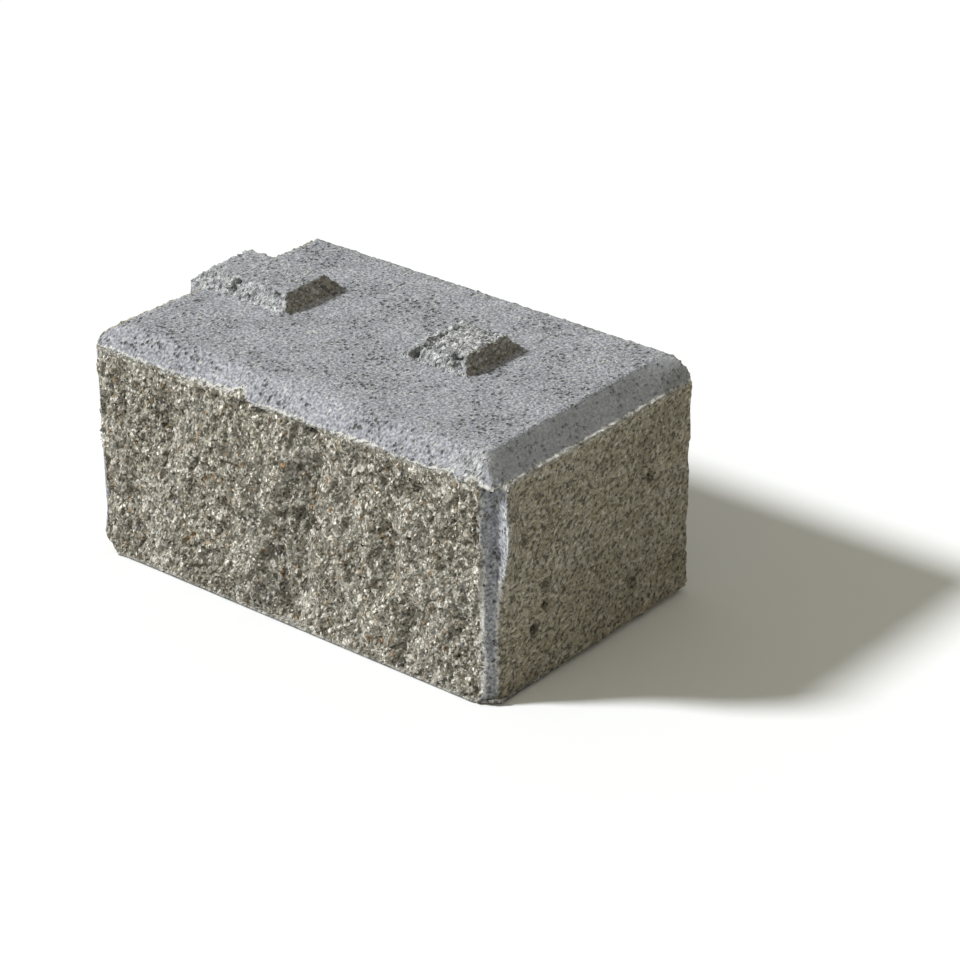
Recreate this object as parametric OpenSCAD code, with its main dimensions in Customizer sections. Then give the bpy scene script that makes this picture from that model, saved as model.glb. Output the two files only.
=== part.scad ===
// Split-face corner block for a dry-laid garden retaining wall.
// One piece of dry-cast concrete. The moulded top has chamfered edges and two
// lugs that key into the grooved underside of the course above. The front and
// the outer end are split off along the mould lines and stay rough.
// Origin at the centre of the underside, X along the front towards the outer
// end, -Y out of the front, Z up. All sizes in millimetres.

/* [Block] */
// Length from the joint end to the outer end
block_length = 310; // [280:1:400]
// Depth from the split front to the back
block_depth = 180; // [160:1:240]
// Height of one course, without the lugs
course_height = 150; // [110:1:200]
// How far the joint end draws in towards the back, for walls that curve
joint_draw_in = 8; // [1:1:20]

/* [Top chamfers] */
// Run of the front chamfer across the top
front_chamfer_run = 14; // [6:1:24]
// Run of the two end chamfers across the top
end_chamfer_run = 18; // [6:1:24]
// Drop of the chamfers down to the mould lines
chamfer_drop = 13; // [6:1:24]

/* [Front corners] */
// Outer corner: width of the moulded rebate across the front
rebate_width = 10.5; // [6:0.5:16]
// Outer corner: depth of the moulded rebate from the front
rebate_depth = 10.5; // [6:0.5:16]
// Outer corner: lean of the rebate's inner wall
rebate_lean = 3; // [0.5:0.5:5]
// Joint corner: width of the moulded chamfer across the front
joint_chamfer_width = 12; // [4:0.5:16]
// Joint corner: depth of the moulded chamfer from the front
joint_chamfer_depth = 10; // [4:0.5:16]
// Joint corner: height of the piece broken off at its foot
break_height = 27; // [10:1:40]
// Joint corner: width of the piece broken off, along the front
break_width = 27; // [10:1:40]
// Joint corner: depth of the piece broken off, from the front
break_depth = 20; // [12:1:40]

/* [Split faces] */
// Deepest break behind the mould lines on the front
front_flake_depth = 6; // [2:0.5:9]
// Deepest break behind the mould lines on the outer end
end_flake_depth = 4; // [2:0.5:9]
// Spacing of the flakes across a split face
flake_width = 19; // [15:1:40]
// Spacing of the flakes up a split face
flake_height = 28; // [22:1:60]
// Sideways lean of the flakes, in degrees
flake_lean = 18; // [0:1:30]
// Height of the moulded foot that the split leaves along the underside
split_foot = 3; // [1:0.5:6]
// Deepest break right at the foot and at the top's mould line
split_edge = 1.5; // [0.5:0.25:2]
// Width of the bands along them in which the break deepens
split_margin = 22; // [10:1:40]
// Long scars down the front: middle of the first, from the middle of the front
first_scar = -1; // [-20:1:20]
// Long scars: spacing along the front
scar_spacing = 71; // [50:1:90]
// Long scars: their lean, in degrees
scar_lean = 20; // [5:1:30]
// Long scars: width of their long flank
scar_long_flank = 32; // [20:1:45]
// Long scars: width of their short flank
scar_short_flank = 15; // [10:1:30]
// Long flake off the outer end's front arris: its depth
arris_flake_depth = 6.5; // [2:0.5:7]
// Long flake: its reach back along the outer end
arris_flake_reach = 45; // [20:1:70]
// Long flake: height over which it stays at full depth
arris_flake_height = 55; // [30:1:70]
// Long flake: height over which it runs out above that
arris_flake_runout = 65; // [30:1:75]

/* [Lugs] */
// Height of the lugs above the top
lug_height = 11; // [6:0.5:18]
// Front edge of both lugs, measured from the split front
lug_setback = 80; // [60:1:90]
// Depth of the lugs at their foot
lug_depth = 52; // [40:1:60]
// Slope of the lugs' front
lug_front_slope = 6; // [2:1:12]
// Slope of the lugs' back
lug_back_slope = 11; // [2:1:16]
// Draft of the lugs' steep ends
lug_end_draft = 5; // [1:1:10]
// Outer lug: length at its foot
outer_lug_length = 51; // [40:1:70]
// Outer lug: distance of its steep end from the block's outer end
outer_lug_inset = 85; // [40:1:100]
// Outer lug: slope of its other end
outer_lug_slope = 13; // [4:1:18]
// Joint lug: length at its foot
joint_lug_length = 79; // [60:1:95]
// Joint lug: distance of its foot from the joint end
joint_lug_inset = 9; // [7:1:20]
// Joint lug: slope of its end over the joint end's chamfer
joint_lug_slope = 13; // [4:1:18]

/* [Underside groove] */
// Play between a lug and the groove of the course above, all round
groove_play = 3; // [1:0.5:6]
// Solid concrete left between the groove and the outer end
groove_stop = 60; // [20:1:80]

/* [Hidden] */
// Small overlap that keeps cutters from sharing a face with the block
bite = 1;
// Room around the block for its cutters
reach = 60;
front = -block_depth / 2;
back = block_depth / 2;
outer_end = block_length / 2;
joint_end = -block_length / 2;
mould_line = course_height - chamfer_drop;
draw_in_angle = atan2(joint_draw_in, block_depth);
lug_front = front + lug_setback;
lug_back = lug_front + lug_depth;
outer_lug_end = outer_end - outer_lug_inset;
joint_lug_start = joint_end + joint_lug_inset;
groove_height = lug_height + groove_play;
// Starting numbers of the two faces' random flakes
front_seed = 300;
end_seed = 800;

// Front-to-back section, drawn in Y and Z and swept along X.
module sweep_along_x(x0, x1) {
    translate([x0, 0, 0])
        rotate([90, 0, 90])
            linear_extrude(x1 - x0)
                children();
}

// End-to-end section, drawn in X and Z and swept along Y.
module sweep_along_y(y0, y1) {
    translate([0, y1, 0])
        rotate([90, 0, 0])
            linear_extrude(y1 - y0)
                children();
}

// Plan, drawn in X and Y and raised from z0 to z1.
module raise(z0, z1) {
    translate([0, 0, z0])
        linear_extrude(z1 - z0)
            children();
}

// What lies outside the joint end: its face turns about its front corner.
module joint_end_waste() {
    translate([joint_end, front + joint_chamfer_depth, 0])
        rotate([0, 0, -draw_in_angle])
            sweep_along_y(-reach, block_depth + reach)
                polygon([
                    [-reach, -reach],
                    [0, -reach],
                    [0, mould_line],
                    [end_chamfer_run, course_height],
                    [end_chamfer_run, course_height + reach],
                    [-reach, course_height + reach]
                ]);
}

// The moulded mass: chamfered along the front and both ends, sharp at the back.
module chamfered_mass() {
    difference() {
        intersection() {
            sweep_along_x(joint_end, outer_end)
                polygon([
                    [front, 0],
                    [back, 0],
                    [back, course_height],
                    [front + front_chamfer_run, course_height],
                    [front, mould_line]
                ]);
            sweep_along_y(front - bite, back + bite)
                polygon([
                    [joint_end - bite, -bite],
                    [outer_end, -bite],
                    [outer_end, mould_line],
                    [outer_end - end_chamfer_run, course_height],
                    [outer_end - end_chamfer_run, course_height + bite],
                    [joint_end - bite, course_height + bite]
                ]);
        }
        joint_end_waste();
    }
}

// Rebate that starts the split at the outer corner, over a plain chamfered foot.
module outer_corner_rebate() {
    raise(split_foot, course_height + bite)
        polygon([
            [outer_end - rebate_width, front - bite],
            [outer_end - rebate_width, front],
            [outer_end - rebate_width + rebate_lean, front + rebate_depth],
            [outer_end + bite, front + rebate_depth],
            [outer_end + bite, front - bite]
        ]);
    raise(-bite, split_foot + bite)
        polygon([
            [outer_end - rebate_width, front - bite],
            [outer_end - rebate_width, front],
            [outer_end, front + rebate_depth],
            [outer_end + bite, front + rebate_depth],
            [outer_end + bite, front - bite]
        ]);
}

// Plain moulded chamfer at the joint corner.
module joint_corner_chamfer() {
    raise(-bite, course_height + bite)
        polygon([
            [joint_end - bite, front - bite],
            [joint_end + joint_chamfer_width, front - bite],
            [joint_end + joint_chamfer_width, front],
            [joint_end, front + joint_chamfer_depth],
            [joint_end - bite, front + joint_chamfer_depth]
        ]);
}

// One slanting break through a corner at the origin, with its legs along the axes.
module slanting_break(legs) {
    slant = [1 / legs.x, 1 / legs.y, 1 / legs.z];
    steepness = norm(slant);
    rotate([0, acos(slant.z / steepness), atan2(slant.y, slant.x)])
        translate([-2 * reach, -2 * reach, 1 / steepness - 4 * reach])
            cube(4 * reach);
}

// Piece broken off the foot of the joint corner.
module broken_corner() {
    translate([joint_end, front, 0])
        slanting_break([break_width, break_depth, break_height]);
}

// Long flake off the outer end's front arris, below the top and above the foot.
module arris_flake() {
    intersection() {
        translate([outer_end, front + rebate_depth, arris_flake_height])
            mirror([1, 0, 0])
                slanting_break([arris_flake_depth, arris_flake_reach, arris_flake_runout]);
        translate([outer_end - arris_flake_depth, front, split_foot])
            cube([reach, block_depth - bite, mould_line - split_foot]);
    }
}

// A fixed random number between two limits, for one flake of one face.
function chance(low, high, flake, seed) = rands(low, high, 1, 97 * flake + seed)[0];

// Upright V cut into a face whose mould plane is y = 0, with flanks of two widths.
module v_cut(long_flank, short_flank, valley_depth, half_length) {
    raise(-half_length, half_length)
        polygon([
            [-long_flank, -valley_depth],
            [short_flank, -valley_depth],
            [short_flank, 0],
            [0, valley_depth],
            [-long_flank, 0]
        ]);
}

// One flake broken out of a split face: a shallow V with its valley off the middle,
// tipped so that it runs out at one end and leaves a step at the other.
module flake(k, depth, seed) {
    valley_depth = chance(0.45, 1, k, seed) * depth;
    valley_x = chance(-0.5, 0.5, k, seed + 1) * flake_width;
    tip = chance(-1, 1, k, seed + 2) * atan2(depth, 2 * flake_height);
    lean = chance(-1, 1, k, seed + 3) * flake_lean;
    rotate([tip, lean, 0])
        translate([valley_x, 0, 0])
            v_cut(flake_width + valley_x, flake_width - valley_x, valley_depth, flake_height);
}

// Waste split off a face of the given width, whose mould plane is y = 0: its flakes
// and any scars given, held shallow along the foot and along the top's mould line.
module split_waste(width, depth, seed) {
    columns = ceil(width / flake_width);
    rows = ceil(course_height / flake_height);
    intersection() {
        union() {
            for (j = [0:rows - 1])
                for (i = [0:columns - 1])
                    let (k = j * columns + i)
                    translate([
                        (i + chance(0.2, 0.8, k, seed + 4)) * flake_width,
                        0,
                        (j + chance(0.2, 0.8, k, seed + 5)) * flake_height
                    ])
                        flake(k, depth, seed);
            children();
        }
        sweep_along_x(-reach, width + reach)
            polygon([
                [-reach, split_foot],
                [split_edge, split_foot],
                [depth, split_foot + split_margin],
                [depth, mould_line - split_margin],
                [split_edge, mould_line],
                [split_edge, course_height + reach],
                [-reach, course_height + reach]
            ]);
    }
}

// The two long scars that lean across the front.
module front_scars() {
    for (i = [0:1])
        translate([first_scar + i * scar_spacing, 0, course_height / 2])
            rotate([0, scar_lean, 0])
                v_cut(scar_long_flank, scar_short_flank, front_flake_depth, course_height / 2);
}

module front_split() {
    translate([joint_end, front, 0])
        split_waste(block_length, front_flake_depth, front_seed)
            translate([block_length / 2, 0, 0])
                front_scars();
}

module outer_end_split() {
    translate([outer_end, front, 0])
        rotate([0, 0, 90])
            split_waste(block_depth, end_flake_depth, end_seed);
}

// A lug from x0 to x1 at its foot, with its own slope at either end. It goes
// down into the block far enough to fill the end chamfer under it.
module lug(x0, x1, slope0, slope1) {
    translate([0, 0, course_height])
        intersection() {
            sweep_along_x(x0, x1)
                polygon([
                    [lug_front, -chamfer_drop],
                    [lug_front, 0],
                    [lug_front + lug_front_slope, lug_height],
                    [lug_back - lug_back_slope, lug_height],
                    [lug_back, 0],
                    [lug_back, -chamfer_drop]
                ]);
            sweep_along_y(front, back)
                polygon([
                    [x0, -chamfer_drop],
                    [x0, 0],
                    [x0 + slope0, lug_height],
                    [x1 - slope1, lug_height],
                    [x1, 0],
                    [x1, -chamfer_drop]
                ]);
        }
}

module outer_lug() {
    lug(outer_lug_end - outer_lug_length, outer_lug_end, outer_lug_slope, lug_end_draft);
}

module joint_lug() {
    lug(joint_lug_start, joint_lug_start + joint_lug_length, joint_lug_slope, lug_end_draft);
}

// Groove that takes the lugs of the course below: their section plus play,
// open at the joint end and stopped short of the outer end, which stays whole.
module lug_groove() {
    sweep_along_x(joint_end - bite, outer_end - groove_stop)
        polygon([
            [lug_front - groove_play, -bite],
            [lug_front - groove_play, 0],
            [lug_front + lug_front_slope - groove_play, groove_height],
            [lug_back - lug_back_slope + groove_play, groove_height],
            [lug_back + groove_play, 0],
            [lug_back + groove_play, -bite]
        ]);
}

module concrete_block() {
    color("#8d8c86")
        difference() {
            union() {
                chamfered_mass();
                outer_lug();
                joint_lug();
            }
            outer_corner_rebate();
            joint_corner_chamfer();
            broken_corner();
            front_split();
            outer_end_split();
            arris_flake();
            lug_groove();
        }
}

concrete_block();
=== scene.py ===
# Looks of a split-face corner block for a dry-laid garden wall: one casting of
# dry concrete, smooth where the mould pressed it and rough where it was split.
# The frame is in metres. Sizes written in millimetres are multiplied by MM.
import math

import bmesh
import bpy
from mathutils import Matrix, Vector, noise
from mathutils.bvhtree import BVHTree
from mathutils.kdtree import KDTree


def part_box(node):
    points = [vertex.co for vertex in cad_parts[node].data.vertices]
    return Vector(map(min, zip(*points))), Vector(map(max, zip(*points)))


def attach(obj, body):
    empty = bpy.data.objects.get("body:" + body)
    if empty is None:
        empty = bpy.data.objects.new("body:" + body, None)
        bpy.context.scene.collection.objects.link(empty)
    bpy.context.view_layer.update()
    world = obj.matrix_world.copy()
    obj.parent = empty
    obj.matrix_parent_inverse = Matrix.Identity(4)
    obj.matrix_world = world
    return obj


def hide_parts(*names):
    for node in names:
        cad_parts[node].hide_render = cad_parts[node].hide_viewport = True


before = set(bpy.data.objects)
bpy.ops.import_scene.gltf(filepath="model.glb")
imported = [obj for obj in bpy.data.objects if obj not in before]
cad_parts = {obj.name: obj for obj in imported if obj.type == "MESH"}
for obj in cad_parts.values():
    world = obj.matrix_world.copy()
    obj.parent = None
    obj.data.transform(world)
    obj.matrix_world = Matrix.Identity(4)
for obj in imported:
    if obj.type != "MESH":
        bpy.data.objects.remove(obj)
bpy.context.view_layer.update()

# The casting: damp dry-cast concrete, rammed into a mould and pressed from above.
# The CAD solid gives its form. A copy of it gets an even grid of faces, finest on
# the breaks and the lugs, so that their crumbs and holes can be modelled on it.
MM = 0.001
low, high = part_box("concrete_block")
course_height = 150 * MM
mould_line = 137 * MM
foot_height = 3.4 * MM
rebate_size = 10.5 * MM
rebate_reach = rebate_size + MM
chamfer_runs = Vector((18, 14)) * MM
joint_chamfer_width = 12 * MM
strip_loss = 4 * MM
broken_corner_legs = Vector((27, 20, 27)) * MM
corner_tolerance = 0.03
front_break_depth = 9.5 * MM
end_break_depth = 7.5 * MM
arris_waver = 7 * MM
arris_crumb = 2.3 * MM
merge_distance = 0.01 * MM
hidden_grid = 4.2 * MM
lip_band = 5 * MM
joint_arris_foot = mould_line + 4 * MM
crumbly_lug_foot = course_height + 0.5 * MM
# A surface faces a side where its normal leans that way by at least this share. The
# rebate's walls face along the front or along the end more than the breaks do.
facing = 0.3
front_break_facing = 0.8
end_break_facing = (-0.7, 0.9)
# Bites out of the front's upper arris, in millimetres: the place along the front, half
# the width, and the height.
arris_bites = (
    (-33, 7, 4),
    (-45, 9, 2),
    (-62, 5, 2),
    (12, 6, 1),
    (74, 7, 1.5),
    (118, 9, 2),
    (139, 5, 3),
)
# Holes in the outer end, where a stone broke out: place, radius and depth in millimetres.
end_hollows = (
    ((154, 50.6, 91.2), 4.2, 6.0),
    ((154, -42.6, 61.6), 4.6, 4.0),
    ((154, -43.3, 48.7), 4.2, 6.0),
    ((154, -52.1, 35.6), 5.0, 7.0),
    ((154, 35.4, 28.6), 4.6, 5.0),
    ((154, -63, 97), 4.6, 4.0),
    ((154, 77, 28), 4.6, 3.5),
)

casting = bmesh.new()
casting.from_mesh(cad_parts["concrete_block"].data)
bmesh.ops.remove_doubles(casting, verts=casting.verts, dist=merge_distance)
solid = BVHTree.FromBMesh(casting)

block_mesh = bpy.data.meshes.new("cast_block")
casting.to_mesh(block_mesh)
block = bpy.data.objects.new("cast_block", block_mesh)
bpy.context.scene.collection.objects.link(block)
even_grid = block.modifiers.new("even_grid", "REMESH")
even_grid.mode = "VOXEL"
even_grid.voxel_size = hidden_grid
gridded_block = block.evaluated_get(bpy.context.evaluated_depsgraph_get())
gridded_mesh = bpy.data.meshes.new_from_object(gridded_block)
block.modifiers.remove(even_grid)
casting.clear()
casting.from_mesh(gridded_mesh)
bpy.data.meshes.remove(gridded_mesh)


def as_holes(hollows):
    """The hollows of a list, with their places as vectors."""
    return [(Vector(place), radius, depth) for place, radius, depth in hollows]


end_holes = as_holes(end_hollows)


def ragged(along, row, size=1.0):
    """How far a broken arris strays from its straight line, at a place along it."""
    waver = noise.noise(Vector((along / arris_waver, row, 0)))
    crumbs = noise.noise(Vector((along / arris_crumb, row, 3)))
    return (0.9 * waver + 0.5 * crumbs) * size * MM


def corner_slant(spot):
    """How far a spot is from the lower left corner: 1 where that has broken off."""
    from_corner = spot - low
    return sum(from_corner[axis] / broken_corner_legs[axis] for axis in range(3))


def near_rebate(place, reach):
    """Whether a place is within reach of the front outer corner, where the rebate is."""
    return place.x > high.x - reach and place.y < low.y + reach


def is_broken(spot, normal):
    """Whether a spot of the solid's surface was split or broken off, not moulded."""
    if abs(corner_slant(spot) - 1) < corner_tolerance:
        return True
    foot = foot_height + ragged(spot.x + spot.y, 1, 0.4)
    if spot.y < low.y + front_break_depth and normal.x < front_break_facing:
        bite = max(
            height * (1 - ((spot.x / MM - place) / half_width) ** 2)
            for place, half_width, height in arris_bites
        )
        top = mould_line + ragged(spot.x, 2) + max(0, bite) * MM
        left = low.x + joint_chamfer_width - strip_loss + ragged(spot.z, 4, 0.7)
        return left < spot.x < high.x - rebate_size and foot < spot.z < top
    top = mould_line + ragged(spot.y, 3, 0.7)
    faces_end = end_break_facing[0] < normal.y < end_break_facing[1]
    on_end = spot.x > high.x - end_break_depth and faces_end
    return on_end and spot.y > low.y + rebate_size and foot < spot.z < top


def is_on_show(spot, normal):
    """Whether a spot is on the front, the outer end, the top or their chamfers."""
    return normal.z > facing or normal.y < -facing or normal.x > facing


def needs_crumbs(spot, normal):
    """Whether a spot is on the front's break, near an arris or a hole, or on a lug."""
    in_rebate = near_rebate(spot, rebate_reach)
    on_front = spot.y < low.y + front_break_depth and is_broken(spot, normal)
    on_end = spot.x > high.x - end_break_depth
    on_end_lip = on_end and abs(spot.z - mould_line) < lip_band
    by_end_hole = on_end and any(
        (spot / MM - place).length < 2 * radius for place, radius, depth in end_holes
    )
    on_joint_arris = normal.x < -facing and spot.z > joint_arris_foot
    on_lug = spot.z > crumbly_lug_foot
    return in_rebate or on_front or on_end_lip or by_end_hole or on_joint_arris or on_lug


def settle():
    """Puts every vertex of the grid back on the solid's surface."""
    for vert in casting.verts:
        vert.co = solid.find_nearest(vert.co)[0]


def halve_faces(is_wanted):
    """Halves the grid on the faces whose middle is wanted."""
    faces = []
    for face in casting.faces:
        spot, normal = solid.find_nearest(face.calc_center_median())[:2]
        if is_wanted(spot, normal):
            faces.append(face)
    edges = list(dict.fromkeys(edge for face in faces for edge in face.edges))
    bmesh.ops.subdivide_edges(casting, edges=edges, cuts=1, use_grid_fill=True)
    settle()


settle()
halve_faces(is_on_show)
halve_faces(needs_crumbs)
smoothing = {"factor": 0.5, "use_axis_x": True, "use_axis_y": True, "use_axis_z": True}
bmesh.ops.smooth_vert(casting, verts=casting.verts, **smoothing)
settle()
homes = [solid.find_nearest(vert.co)[:2] for vert in casting.verts]

# The lower left corner has broken off, a little less than in the CAD solid. The outer
# end split flatter than the front, but for the flake at its front corner.
# The rebate in that corner stops under the top's chamfers, which meet whole above it,
# and the split's edge beside it stands forward, less so towards the foot.
corner_fill = 0.3
corner_blend = 1.7
end_flatness = 0.75
end_flat_from = -79.5 * MM
end_flat_to = -35 * MM
front_flatness = 0.65
front_plane = low.y + 2 * MM
facing_down = -0.5
rebate_foot = Vector((high.x - 7.5 * MM, low.y + rebate_size))
lip_forward = Vector((7, -4.5, 0)) * MM
lip_width = 4.5 * MM
lip_depth = 14 * MM
lip_foot = (26 * MM, 105 * MM)
lip_head = (146 * MM, 128 * MM)
rebate_opening = 3 * MM
opening_from = rebate_foot.x - 12 * MM
opening_to = rebate_foot.x - 3 * MM
cap_start = 0.04
cap_reach = 1.5 * rebate_size


def ramp(value, start, end):
    """How far a value is on the way from start to end, held between 0 and 1."""
    return min(1.0, max(0.0, (value - start) / (end - start)))


for vert, (spot, normal) in zip(casting.verts, homes):
    slant = corner_slant(spot)
    if slant < corner_blend:
        fill = corner_fill * ramp(slant, corner_blend, 1) / slant
        vert.co = low + (vert.co - low) * (1 - fill)
    if spot.x > high.x - end_break_depth and is_broken(spot, normal):
        flatness = end_flatness * ramp(spot.y, end_flat_from, end_flat_to)
        vert.co.x += flatness * (high.x - vert.co.x)
    elif spot.y < low.y + front_break_depth and normal.z > facing_down and is_broken(spot, normal):
        vert.co.y += front_flatness * (front_plane - vert.co.y)
    if vert.co.z < mould_line and vert.co.x > rebate_foot.x:
        lean = ramp(vert.co.x, rebate_foot.x, rebate_foot.x + lip_width)
        lean *= ramp(vert.co.y, rebate_foot.y + lip_depth, rebate_foot.y)
        lean *= ramp(vert.co.z, *lip_foot) * ramp(vert.co.z, *lip_head)
        vert.co += lip_forward * lean
    elif vert.co.z < mould_line and vert.co.x > opening_from and vert.co.y < rebate_foot.y:
        opening = ramp(vert.co.x, opening_from, opening_to)
        vert.co.x -= rebate_opening * opening * ramp(vert.co.y, rebate_foot.y, low.y)
    rise = (vert.co.z - mould_line) / (course_height - mould_line)
    if cap_start < rise < 1 and near_rebate(vert.co, cap_reach):
        to_end = high.x - rise * chamfer_runs.x - vert.co.x
        to_front = vert.co.y - low.y - rise * chamfer_runs.y
        reach = max(0.0, min(to_end, to_front))
        vert.co += Vector((reach, -reach, 0))
many_sided = [face for face in casting.faces if len(face.verts) > 4]
bmesh.ops.triangulate(casting, faces=many_sided)
bmesh.ops.recalc_face_normals(casting, faces=casting.faces)

# The mould leaves the top's arrises rounded, the one at the front most of all. The
# corner at that arris's left end is worn, and so is the tip above the broken corner.
# Towards the back the outer end's chamfer is fuller.
arris_rounds = 1
arris_foot = mould_line + 2 * MM
arris_head = course_height + 0.2 * MM
front_arris_rounds = 14
front_arris_reach = 32 * MM
back_margin = 8 * MM
worn_corner_rounds = 16
worn_corners = (
    (Vector((-153, -88, 140)) * MM, 14 * MM),
    (Vector((-154, -86, 20)) * MM, 11 * MM),
)
full_chamfer_rise = Vector((2.6, 0, 3.4)) * MM
full_chamfer_start = high.y - 34 * MM
corner_verts = []
for vert, (spot, normal) in zip(casting.verts, homes):
    if any((vert.co - corner).length < reach for corner, reach in worn_corners):
        corner_verts.append(vert)
    if normal.x > facing and spot.z > mould_line:
        down = (course_height - spot.z) / (course_height - mould_line)
        fullness = 4 * down * (1 - down) * ramp(spot.y, full_chamfer_start, high.y)
        vert.co += full_chamfer_rise * fullness
top_verts = [
    vert
    for vert in casting.verts
    if arris_foot < vert.co.z < arris_head and vert.co.y < high.y - back_margin
]
front_verts = [
    vert
    for vert in top_verts
    if vert.co.y < low.y + front_arris_reach and vert.co.x < high.x - front_arris_reach
]
for rounds, verts in (
    (arris_rounds, top_verts),
    (front_arris_rounds, front_verts),
    (worn_corner_rounds, corner_verts),
):
    for _ in range(rounds):
        bmesh.ops.smooth_vert(casting, verts=verts, **smoothing)
casting.normal_update()

# The breaks: facets of stone and mortar, each with its own step and tilt. The front
# broke along leaning ridges, one long scar and some short ones, the outer end more
# evenly. Right under the mould lines the break stands a little proud, apart from some
# hollows. The sizes of this section and the next are in millimetres.
ridge_size = 24.0
ridge_height = 1.5
ridge_lean = math.tan(math.radians(21))
ridge_stretch = 0.6
facet_sizes = (9.0, 4.2)
facet_height = 1.1
crumb_size = 2.0
crumb_step = 0.5
end_roughness = 0.25
lip_line = mould_line / MM
lip_swell = 1.6
lip_reach = 3.0
lip_wave = 13.0
lip_fade = (lip_line + 1, lip_line - 5)
end_lip_fade = (high.y / MM, high.y / MM - 20)
rebate_edge = (high.x - rebate_size) / MM
rebate_fade = (rebate_edge + 2, rebate_edge - 5)
# Each scar has a place at half height, a lean, a depth, the width of its left flank
# and how that grows with the height, the width of its right flank, a foot and a head.
front_scars = (
    (15, 0.2, 8.0, 30, -0.3, 12, -12, 122),
    (76, 0.1, 6.0, 14, 0, 10, 36, 98),
    (90, 0.0, 4.0, 13, 0, 12, -6, 56),
    (-98, 0.35, 3.5, 18, 0, 10, 84, 132),
    (134, 0.0, 3.5, 14, 0, 10, 34, 66),
    (150, 0.0, 3.5, 16, 0, 10, -12, 46),
)
scar_fade = 12
scar_waver = 6
scar_wave = 17
# A scar's left flank, turned from the lamp, also gets painted shade, this strong.
flank_shade = 3
# Each hollow has a place, a radius and a depth.
front_hollows = (
    ((-16, -88, 132.4), 7.0, 4.5),
    ((20.8, -88, 132), 7.5, 4.5),
    ((-29, -87, 135), 5.0, 2.5),
    ((-62, -87, 132), 5.0, 2.0),
)
front_holes = as_holes(front_hollows)
front_hollow_squash = Vector((1, 1, 2))
end_hollow_squash = Vector((1, 1.3, 1))


def facets(place, size):
    """Height of the broken facets of one size, from about -1 to 1."""
    centre = noise.voronoi(place / size)[1][0]
    tilt = Vector([noise.cell(centre * spread) for spread in (41.7, 67.1, 93.3)])
    step = noise.cell(centre * 29.9)
    return 0.5 * step + tilt.dot(place / size - centre)


def hollow_depth(place, holes, squash=Vector((1, 1, 1))):
    """Depth of the holes at a place."""
    depths = (
        depth * (1 - ((place - centre) * squash).length_squared / radius**2)
        for centre, radius, depth in holes
    )
    return max(0.0, *depths)


def scar_depth(place):
    """Depth of the scars at a place on the front, and the painted shade on their left flank."""
    rise = place.z - course_height / MM / 2
    depth, tone = 0.0, 0.0
    for middle, lean, deepest, left, growth, right, foot, head in front_scars:
        waver = scar_waver * noise.noise(Vector((place.z / scar_wave, middle, 0)))
        across = place.x - middle - lean * rise - waver
        flank = left + growth * rise if across < 0 else right
        fade = ramp(place.z, foot, foot + scar_fade) * ramp(place.z, head, head - scar_fade)
        share = max(0.0, 1 - abs(across) / flank)
        depth = max(depth, deepest * fade * share)
        if across < 0:
            # Painted shade on the left flank, strongest half way across it.
            tone = max(tone, deepest * fade * flank_shade * share * (1 - share))
    return depth, tone


def break_relief(place, is_end):
    """Height of a break at a place."""
    upright = Vector((place.x - ridge_lean * place.z, place.y, ridge_stretch * place.z))
    height = ridge_height * noise.fractal(upright / ridge_size, 1.0, 2.0, 2)
    for size in facet_sizes:
        height += facet_height * facets(upright, size)
    height += crumb_step * noise.noise(place / crumb_size)
    height *= ramp(place.z, *lip_fade)
    under_lip = math.exp((place.z - lip_line) / lip_reach)
    along = (place.x + place.y) / lip_wave
    swell = (0.7 + noise.noise(Vector((along, 0, 8)))) * min(1.0, under_lip)
    if is_end:
        swell *= ramp(place.y, *end_lip_fade)
        height *= end_roughness
        hollow = hollow_depth(place, end_holes, end_hollow_squash)
    else:
        height *= ramp(place.x, *rebate_fade)
        hollow = hollow_depth(place, front_holes, front_hollow_squash)
    return height + lip_swell * swell - hollow


# The moulded faces: pressed smooth, with a slight grit. The lugs are the last to
# fill when the mould is pressed, so they are crumbly, the outer one all over, with
# holes and a crevice. The arrises at the joint end and the back crumble too.
grit_sizes = (9, 4)
grit_heights = (0.2, 0.12)
moulded_crumb_size = 3.0
moulded_grain_size = 1.8
moulded_crumb_height = 1.2
lug_foot = course_height / MM + 0.4
outer_lug_crumbs = 0.9
joint_lug_crumbs = 0.8
joint_lug_top_crumbs = 0.25
lug_top_facing = 0.8
joint_crumb_foot = course_height / MM - 9
back_crumbs = 0.8
back_crumb_reach = 3
top_facing = 0.5
crumbly_corner = Vector((132, -82, 144))
crumbly_corner_reach = 16
lug_hollows = (
    ((30, -8, 153), 4.0, 5.0),
    ((58.7, -5, 159), 4.6, 6.0),
    ((59.3, -7, 155), 3.8, 4.5),
    ((-110, -5, 159), 2.4, 4.5),
    ((-111.5, -7.5, 155), 2.4, 4.5),
    ((-78.7, -4.7, 159.7), 2.8, 4.0),
)
lug_crevice = ((33, -5, 157), (37.4, -1.4, 161), (35.8, 14.7, 161), (38.1, 27.1, 161))
crevice_radius = 2.2
crevice_depth = 3.4
crevice_rows = (0.4, 5.3, 9.6)
lug_holes = as_holes(lug_hollows)
for start, end in zip(lug_crevice, lug_crevice[1:]):
    run = Vector(end) - Vector(start)
    steps = math.ceil(run.length / crevice_radius)
    for step in range(steps):
        stray = Vector([noise.noise(Vector((step, start[1], row))) for row in crevice_rows])
        spot = Vector(start) + run * step / steps + stray * crevice_radius
        lug_holes.append((spot, crevice_radius, crevice_depth))


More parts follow.
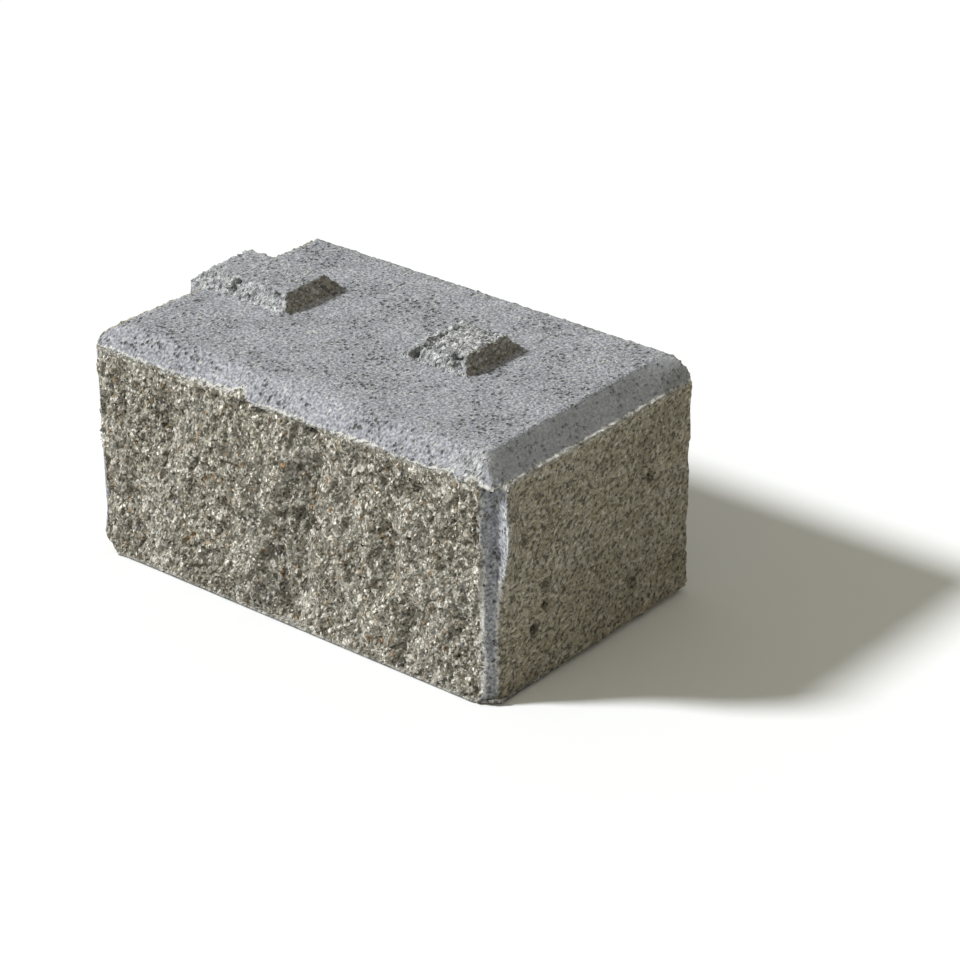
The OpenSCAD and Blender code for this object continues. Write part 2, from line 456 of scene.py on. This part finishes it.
def crumbliness(place, normal):
    """How crumbly a moulded face is at a place, from 0 to 1."""
    if place.z > lug_foot:
        if place.x > 0:
            return outer_lug_crumbs
        return joint_lug_crumbs if normal.z < lug_top_facing else joint_lug_top_crumbs
    if normal.x < -facing and place.z > joint_crumb_foot:
        return 1.0
    near_corner = 1 - (place - crumbly_corner).length / crumbly_corner_reach
    near_back = 0.0
    if normal.z > top_facing:
        from_back = (place.y - high.y / MM) / back_crumb_reach
        near_back = back_crumbs * math.exp(min(0.0, from_back))
    return max(0.0, near_corner, near_back)


def mould_relief(place, crumbly):
    """Height of a moulded face at a place."""
    height = sum(rise * noise.noise(place / size) for size, rise in zip(grit_sizes, grit_heights))
    if crumbly:
        crumbs = facets(place, moulded_crumb_size)
        crumbs += 0.8 * noise.noise(place / moulded_grain_size) - 0.3
        height += moulded_crumb_height * crumbly * crumbs
    if place.z > lug_foot:
        height -= hollow_depth(place, lug_holes)
    return height


# What the material needs to know of each spot: how far it is broken open, how gritty
# it is, how high it stands in millimetres, with the painted shade of the scars' left
# flanks taken off, and how firmly it was pressed, which also marks the outer end's
# chamfer for painted shade. The foot strip and the lugs' steep ends get half the broken
# colour, a khaki tint with painted shade: on the foot for the contact shadow at the
# bottom, on the lug ends for their side turned from the lamp.
end_grit = 0.45
crumb_grit = 0.34
corner_rim = 1.15
corner_relief = 0.2
scar_shade = 0.32
joint_arris_share = 0.7
foot_reach = 1.2 * foot_height
foot_tint_and_shade_share = 0.5
foot_grit = 0.3
foot_recess_and_shade = -1.0
lug_end_foot = course_height + MM
lug_end_facing = 0.5
lug_end_tint_and_shade_share = 0.5
pressed_facing = (0.2, 0.5)
broken_layer = casting.verts.layers.float.new("broken")
rough_layer = casting.verts.layers.float.new("rough")
relief_and_shade_layer = casting.verts.layers.float.new("relief")
pressed_and_shaded_layer = casting.verts.layers.float.new("pressed_and_shaded")
moves = []
for vert, (spot, normal) in zip(casting.verts, homes):
    place = vert.co / MM
    scar, painted_scar_shade = 0.0, 0.0
    if is_broken(spot, normal):
        is_end = vert.co.x > high.x - end_break_depth and vert.co.y > low.y + front_break_depth
        open_share = 1.0
        grit = end_grit if is_end else 1.0
        relief = break_relief(place, is_end)
        if corner_slant(spot) < corner_rim:
            relief = min(relief, corner_relief)
        if not is_end:
            scar, painted_scar_shade = scar_depth(place)
    else:
        crumbly = crumbliness(place, normal)
        open_share = 0.0
        grit = crumb_grit * crumbly
        relief = mould_relief(place, crumbly)
        # Foot strip: a 1 mm recess, half the broken colour and a lower relief tone, as painted
        # contact shade.
        if spot.z < foot_reach:
            open_share, grit, relief = foot_tint_and_shade_share, foot_grit, foot_recess_and_shade
        # Lug ends turned from the lamp: half the broken colour, a khaki tint with painted shade.
        elif spot.z > lug_end_foot and normal.x > lug_end_facing:
            open_share = lug_end_tint_and_shade_share
        elif spot.z < course_height and normal.x < -facing:
            open_share = joint_arris_share * crumbly
    on_chamfer = mould_line < spot.z < course_height
    vert[broken_layer] = open_share
    vert[rough_layer] = grit
    vert[pressed_and_shaded_layer] = ramp(normal.x, *pressed_facing) if on_chamfer else 0.0
    # The relief the material reads has the painted shade of the scars' left flanks taken off.
    vert[relief_and_shade_layer] = relief - scar_shade * painted_scar_shade
    moves.append(vert.normal * (relief - scar) * MM)
for vert, move in zip(casting.verts, moves):
    vert.co += move
    vert.co.z = max(vert.co.z, low.z)

# Rubbed arrises: along the mould lines the edge of the break is drawn pale, in a
# thin line, but in a wider ragged band on the left of the front: partly chafed wear,
# partly a painted highlight on the lip. The line goes on under the whole corner of the
# chamfers. At the outer end it has a slight burr, and its pale line is strengthened
# there as a painted highlight.
rub_width = 2 * MM
rubbed_foot = 8 * MM
wide_rub_width = 2.4 * MM
wide_rub_end = -28 * MM
rub_spot = 4 * MM
rub_patch = 15 * MM
end_painted_highlight_gain = 0.4
end_rub_back = (70 * MM, 30 * MM)
end_rub_drop = (110 * MM, 70 * MM)
cap_line = 1.8 * MM
cap_rub = 0.7
cap_rub_foot = mould_line - 2 * MM
burr = Vector((0.5, 0, 1.1)) * MM
burr_wave = 5 * MM
burr_crumb = MM
burr_band = 5 * MM
burr_ends = (low.y + rebate_size, 70 * MM)


def is_open(vert):
    """Whether a vertex is on a break."""
    return vert[broken_layer] == 1


rim = []
for vert in casting.verts:
    is_edge = any(is_open(edge.other_vert(vert)) != is_open(vert) for edge in vert.link_edges)
    under_cap = near_rebate(vert.co, rebate_reach) and -MM < vert.co.z - mould_line < cap_line
    can_rub = vert.co.z > rubbed_foot and vert.co.x > low.x + joint_chamfer_width
    if can_rub and (is_edge or under_cap):
        rim.append(vert.co)
        if vert.co.x > high.x - burr_band and burr_ends[0] < vert.co.y < burr_ends[1]:
            waver = 1.3 * noise.noise(vert.co / burr_wave)
            crumbs = 0.6 * noise.noise(vert.co / burr_crumb)
            vert.co += burr * max(0.0, 0.6 + waver + crumbs)
rim_tree = KDTree(len(rim))
for index, place in enumerate(rim):
    rim_tree.insert(place, index)
rim_tree.balance()
rub_and_highlight_layer = casting.verts.layers.float.new("rub_and_highlight")
for vert in casting.verts:
    gap = rim_tree.find(vert.co)[2]
    width = rub_width
    if vert.co.x < wide_rub_end and vert.co.z > mould_line - wide_rub_width:
        width = wide_rub_width
    spots = 0.9 * noise.noise(vert.co / rub_spot)
    patch = 0.75 + spots + 0.5 * noise.noise(vert.co / rub_patch)
    if vert.co.x > high.x - end_break_depth and vert.co.y > low.y + rebate_size:
        # Painted highlight: on the shaded outer end the pale line is made stronger towards the
        # front.
        patch += end_painted_highlight_gain * ramp(vert.co.y, *end_rub_back) - ramp(vert.co.z, *end_rub_drop)
    if near_rebate(vert.co, cap_reach):
        patch += cap_rub * ramp(vert.co.z, cap_rub_foot, mould_line)
    vert[rub_and_highlight_layer] = ramp(gap, width, 0.0) * min(1.0, max(0.0, patch))

for face in casting.faces:
    face.smooth = True
casting.to_mesh(block_mesh)
casting.free()

# Dry-cast concrete: cement paste, sand and small gravel, matt all over. Pressed
# against the mould it is an even bluish grey with small open pits. Broken, it shows
# crumbs of khaki mortar and sand, with a few cream, blue-grey and rusty stones.
# The grains of sand and the pits are drawn coarser than real, so that they show.
crumb_spacing = 3.5 * MM
grain_spacing = 1.5 * MM
grain_slope = 1.45
grain_edge = 1.2 * MM
grain_share = 0.66
gravel_spacing = 6.5 * MM
mortar_patch = 34 * MM
mortar_lump = 9 * MM
pore_size = 2.6 * MM
pore_depth = 1.2 * MM
paste_grain = 1.7 * MM
paste_rise = 0.6 * paste_grain
pressed_paste_rise = 0.15 * paste_grain
pit_spacing = 2.5 * MM
pit_edge = 1.9 * MM
pit_band = 30 * MM
pit_depth = 2.2 * MM
split_lean = (math.radians(25), math.radians(21), 0)
split_stretch = (0.72, 1.2, 1.05)


def linear(hex_colour):
    """Linear RGBA of an sRGB colour written as a hex value."""
    channels = [int(hex_colour[i : i + 2], 16) / 255 for i in (1, 3, 5)]
    return [c / 12.92 if c <= 0.04045 else ((c + 0.055) / 1.055) ** 2.4 for c in channels] + [1]


def add_node(tree, kind, inputs, stops=(), **settings):
    """Adds a node with its settings, colour stops, and linked or plain inputs."""
    node = tree.nodes.new(kind)
    for name, value in settings.items():
        setattr(node, name, value)
    for position, _ in stops[2:]:
        node.color_ramp.elements.new(position)
    for element, (position, colour) in zip(node.color_ramp.elements if stops else (), stops):
        element.position = position
        element.color = linear(colour)
    for socket, value in inputs.items():
        if isinstance(value, bpy.types.NodeSocket):
            tree.links.new(value, node.inputs[socket])
        else:
            node.inputs[socket].default_value = value
    return node.outputs


concrete = bpy.data.materials.new("dry_cast_concrete")
concrete.use_nodes = True
concrete.node_tree.nodes.clear()
nodes = concrete.node_tree


def attribute(name):
    """What the mesh says of each spot under a name."""
    return add_node(nodes, "ShaderNodeAttribute", {}, attribute_name=name)["Fac"]


def maths(operation, *values):
    """Result of an operation, such as the first value times the second plus the third."""
    return add_node(nodes, "ShaderNodeMath", dict(enumerate(values)), operation=operation)["Value"]


def remap(value, start, end, first=0.0, last=1.0):
    """A value that goes from first to last while the given one goes from start to end."""
    inputs = {"Value": value, "From Min": start, "From Max": end, "To Min": first, "To Max": last}
    return add_node(nodes, "ShaderNodeMapRange", inputs)["Result"]


def patches(vector, size, detail=2.0, roughness=0.5):
    """Soft random patches of a size, as a tone and as a colour."""
    inputs = {"Vector": vector, "Scale": 1 / size, "Detail": detail, "Roughness": roughness}
    return add_node(nodes, "ShaderNodeTexNoise", inputs)


def cells(vector, spacing):
    """Random cells at a spacing, and the numbers that are drawn for each."""
    cell = add_node(nodes, "ShaderNodeTexVoronoi", {"Vector": vector, "Scale": 1 / spacing})
    return cell, add_node(nodes, "ShaderNodeSeparateColor", {"Color": cell["Color"]})


def graded(tone, *stops):
    """Colour of a tone between colour stops."""
    return add_node(nodes, "ShaderNodeValToRGB", {"Fac": tone}, stops)["Color"]


def blend(factor, first, second, kind="MIX"):
    """Colour of two colours mixed by a factor."""
    inputs = {0: factor, 6: first, 7: second}
    return add_node(nodes, "ShaderNodeMix", inputs, data_type="RGBA", blend_type=kind)[2]


coords = add_node(nodes, "ShaderNodeTexCoord", {})["Object"]
broken = attribute("broken")
rough = attribute("rough")
# The relief also carries painted shade, for the tone of hollows and crests below.
relief = attribute("relief")
pressed_and_shaded = attribute("pressed_and_shaded")
rub_and_highlight = attribute("rub_and_highlight")

# Crumbs and stones are drawn out a little along the splits: upright with a lean on the
# front, along and upwards on the end. Their edges are irregular, so they are shaken.
drawn = add_node(
    nodes,
    "ShaderNodeMapping",
    {"Vector": coords, "Rotation": split_lean, "Scale": split_stretch},
    vector_type="TEXTURE",
)["Vector"]
shake = patches(drawn, grain_edge)["Color"]


def shaken_by(reach, vector):
    """Coordinates that are shaken up to a reach."""
    inputs = {0: shake, 1: [reach] * 3, 2: vector}
    return add_node(nodes, "ShaderNodeVectorMath", inputs, operation="MULTIPLY_ADD")["Vector"]


shaken = shaken_by(grain_edge, drawn)


def tilted_grains(spacing, slope):
    """Tone of the nearest grain, and its height as a tilted facet."""
    grain, draw = cells(shaken, spacing)
    offset = add_node(
        nodes, "ShaderNodeVectorMath", {0: shaken, 1: grain["Position"]}, operation="SUBTRACT"
    )["Vector"]
    tilt = add_node(
        nodes,
        "ShaderNodeVectorMath",
        {0: grain["Color"], 1: [2 * slope] * 3, 2: [-slope] * 3},
        operation="MULTIPLY_ADD",
    )["Vector"]
    height = add_node(
        nodes, "ShaderNodeVectorMath", {0: offset, 1: tilt}, operation="DOT_PRODUCT"
    )["Value"]
    return draw["Green"], height


lump_tone = patches(drawn, mortar_lump, 5.0, 0.65)["Fac"]
mortar_tone = maths("MULTIPLY_ADD", patches(drawn, mortar_patch)["Fac"], 0.8, lump_tone)
mortar = graded(mortar_tone, (0.66, "#6a665c"), (0.9, "#aaa599"), (1.0, "#d2cec3"))
crumb_tone, crumb_height = tilted_grains(crumb_spacing, grain_slope)
grain_tone, grain_height = tilted_grains(grain_spacing, grain_slope)
grain_colour = graded(
    grain_tone,
    (0.0, "#3f3c33"),
    (0.1, "#7b776c"),
    (0.5, "#a39e91"),
    (0.82, "#cdc8bb"),
    (0.92, "#fdfaf1"),
)
ochre_share = remap(crumb_tone, 0.93, 0.95, last=0.6)
quartz_share = remap(crumb_tone, 0.08, 0.05, last=0.8)
sandy_mortar = blend(ochre_share, mortar, linear("#b18652"))
grainy_mortar = blend(grain_share, sandy_mortar, grain_colour)
quartz_mortar = blend(quartz_share, grainy_mortar, linear("#ece6da"))

gravel, gravel_draw = cells(shaken, gravel_spacing)
gravel_colour = graded(
    gravel_draw["Red"],
    (0.0, "#3c3a34"),
    (0.25, "#7d7f86"),
    (0.5, "#a09b8d"),
    (0.72, "#c3bcab"),
    (0.93, "#a98460"),
)
gravel_reach = maths("MULTIPLY_ADD", gravel_draw["Green"], 0.7, -0.36)
gravel_gap = maths("SUBTRACT", gravel["Distance"], gravel_reach)
gravel_shape = remap(gravel_gap, -0.05, 0.05, 0.7, 0.0)
dull_stones = blend(gravel_shape, quartz_mortar, gravel_colour)
stones = add_node(
    nodes, "ShaderNodeBrightContrast", {"Color": dull_stones, "Bright": 0.055, "Contrast": 0.35}
)["Color"]

# The outer end has broken finer: its stones show less, and it has more small pores.
smoothness = remap(rough, 1.0, end_grit, last=0.6)
smoother_stones = blend(smoothness, stones, linear("#ada389"))
pore_tone = patches(drawn, pore_size, 4.0, 0.7)["Fac"]
pore = remap(maths("MULTIPLY_ADD", smoothness, 0.075, pore_tone), 0.555, 0.65)
# The pores are drawn almost black: painted shade in the holes.
pore_shade_colour = blend(0.75, smoother_stones, linear("#1e1b14"))
broken_colour = blend(pore, smoother_stones, pore_shade_colour)
grainy_height = maths("ADD", crumb_height, grain_height)
broken_height = maths("MULTIPLY_ADD", pore, -pore_depth, grainy_height)

# Pits lie in loose bands, where the damp mix wasn't pressed so tightly. The sloping
# chamfer of the outer end is smoother and more even than the rest, and its colour is
# mixed towards a darker grey: painted shade on its side turned from the lamp.
paste_tone = patches(coords, paste_grain)["Fac"]
paste = graded(paste_tone, (0.3, "#707178"), (0.5, "#98999e"), (0.7, "#bebfc5"))
dark_speck = remap(grain_tone, 0.09, 0.04, last=0.6)
pale_speck = remap(grain_tone, 0.93, 0.96, last=0.5)
dark_specked_paste = blend(dark_speck, paste, linear("#56524a"))
specked_paste = blend(pale_speck, dark_specked_paste, linear("#d8d5cb"))
band_tone = patches(coords, pit_band)["Fac"]
pit, pit_draw = cells(shaken_by(pit_edge, coords), pit_spacing)
pit_share = maths("MULTIPLY_ADD", band_tone, 1.1, pit_draw["Red"])
pit_reach = remap(pit_share, 1.25, 1.55, last=0.5)
in_pit = maths("SUBTRACT", pit_reach, pit["Distance"])
# The pits' floors are drawn dark brown: partly a tint, partly painted shade in the holes.
pit_tint_and_shade = remap(in_pit, 0.0, 0.16, last=0.75)
pitted_paste = blend(pit_tint_and_shade, specked_paste, linear("#453f35"))
paste_patch = remap(band_tone, 0.3, 0.7, 1.08, 0.9)
patchy_paste = blend(1.0, pitted_paste, paste_patch, "MULTIPLY")
# Painted shade: the outer end's chamfer is mixed towards a darker, even grey.
even_shaded_paste = blend(maths("MULTIPLY", pressed_and_shaded, 0.65), patchy_paste, linear("#8b8b8d"))
paste_relief = remap(pressed_and_shaded, 0.0, 1.0, paste_rise, pressed_paste_rise)
paste_height = maths("MULTIPLY", paste_tone, paste_relief)
pit_bowl = remap(in_pit, -0.12, 0.2)
moulded_height = maths("MULTIPLY_ADD", pit_bowl, -pit_depth, paste_height)

# Crumbling moulded concrete is paler and sandier. Hollows get painted shade and what
# stands out gets painted light, from the relief. The rubbed arrises are chalky, partly
# worn pale and partly a painted highlight.
crumb_colour = graded(
    grain_tone,
    (0.0, "#4b473e"),
    (0.15, "#9a9a9a"),
    (0.5, "#c0c0c2"),
    (0.8, "#e2e1de"),
    (0.93, "#f6f5f1"),
)
moulded_colour = blend(remap(rough, 0.0, crumb_grit, last=0.8), even_shaded_paste, crumb_colour)
plain_colour = blend(broken, moulded_colour, broken_colour)
# Painted shade in the hollows and painted light on the crests, by the relief height.
hollow_shade_and_crest_light = remap(relief, -5.0, 2.5, 0.45, 1.3)
shaded_colour = blend(1.0, plain_colour, hollow_shade_and_crest_light, "MULTIPLY")
# The pale arris line: partly chafed wear, partly a painted highlight along the lips.
rub_and_highlight_share = remap(maths("MULTIPLY_ADD", grain_tone, 0.7, rub_and_highlight), 0.75, 0.95, last=0.8)
surface_colour = blend(rub_and_highlight_share, shaded_colour, linear("#dcd9d0"))
surface_height = add_node(
    nodes, "ShaderNodeMix", {0: rough, 2: moulded_height, 3: broken_height}, data_type="FLOAT"
)[0]
surface_normal = add_node(
    nodes, "ShaderNodeBump", {"Height": surface_height, "Distance": 1.0, "Strength": 1.0}
)["Normal"]
matt = add_node(
    nodes,
    "ShaderNodeBsdfPrincipled",
    {"Base Color": surface_colour, "Normal": surface_normal, "Roughness": 0.92},
)["BSDF"]
add_node(nodes, "ShaderNodeOutputMaterial", {"Surface": matt})
block_mesh.materials.append(concrete)
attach(block, "root")
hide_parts("concrete_block")

# Studio floor: a wide sheet of plain white card under the block. Seen by the camera
# it is pure white where the light falls, and it keeps the block's shadow.
floor_size = 8.0
floor_shape = bmesh.new()
bmesh.ops.create_grid(floor_shape, x_segments=1, y_segments=1, size=floor_size / 2)
floor_mesh = bpy.data.meshes.new("studio_floor")
floor_shape.to_mesh(floor_mesh)
floor_shape.free()
floor = bpy.data.objects.new("studio_floor", floor_mesh)
bpy.context.scene.collection.objects.link(floor)


def seen_directly(tree):
    """1 for rays of the camera, of reflections and through glass, otherwise 0."""
    path = add_node(tree, "ShaderNodeLightPath", {})
    mirrored = add_node(
        tree,
        "ShaderNodeMath",
        {0: path["Is Glossy Ray"], 1: path["Is Transmission Ray"]},
        operation="MAXIMUM",
    )["Value"]
    return add_node(
        tree, "ShaderNodeMath", {0: path["Is Camera Ray"], 1: mirrored}, operation="MAXIMUM"
    )["Value"]


card = bpy.data.materials.new("white_card")
card.use_nodes = True
card.node_tree.nodes.clear()
seen = seen_directly(card.node_tree)
card_tone = add_node(
    card.node_tree, "ShaderNodeMapRange", {"Value": seen, "To Min": 0.75, "To Max": 1.0}
)["Result"]
card_face = add_node(card.node_tree, "ShaderNodeBsdfDiffuse", {"Color": card_tone})["BSDF"]
add_node(card.node_tree, "ShaderNodeOutputMaterial", {"Surface": card_face})
floor_mesh.materials.append(card)

# Studio light: one soft lamp from the upper left front, with a warm even fill.
lamp_direction = Vector((-0.60, -0.52, 0.61))
key = bpy.data.lights.new("key_lamp", "SUN")
key.energy = 3.9
key.color = linear("#f9fcff")[:3]
key.angle = math.radians(9)
key_lamp = bpy.data.objects.new("key_lamp", key)
key_lamp.rotation_euler = lamp_direction.to_track_quat("Z", "Y").to_euler()
bpy.context.scene.collection.objects.link(key_lamp)

world = bpy.data.worlds.new("studio")
world.use_nodes = True
world.node_tree.nodes.clear()
bpy.context.scene.world = world
seen = seen_directly(world.node_tree)
fill = add_node(
    world.node_tree, "ShaderNodeBackground", {"Color": linear("#fbf8e6"), "Strength": 0.32}
)["Background"]
backdrop = add_node(
    world.node_tree, "ShaderNodeBackground", {"Color": linear("#ffffff"), "Strength": 1.0}
)["Background"]
surround = add_node(world.node_tree, "ShaderNodeMixShader", {0: seen, 1: fill, 2: backdrop})
add_node(world.node_tree, "ShaderNodeOutputWorld", {"Surface": surround["Shader"]})

# Camera: a long lens from the right front and above, rolled a third of a degree.
camera_place = Vector((1.1198, -1.2758, 0.9341))
camera_aim = Vector((0.0261, 0.0545, 0.0461))
camera_roll = math.radians(-0.357)
camera_data = bpy.data.cameras.new("camera")
camera_data.sensor_width = 36
camera_data.lens = 121.6
camera = bpy.data.objects.new("camera", camera_data)
camera.location = camera_place
camera.rotation_euler = (camera_aim - camera_place).to_track_quat("-Z", "Y").to_euler()
camera.rotation_euler.rotate_axis("Z", camera_roll)
bpy.context.scene.collection.objects.link(camera)
bpy.context.scene.camera = camera
bpy.context.scene.view_settings.view_transform = "Standard"
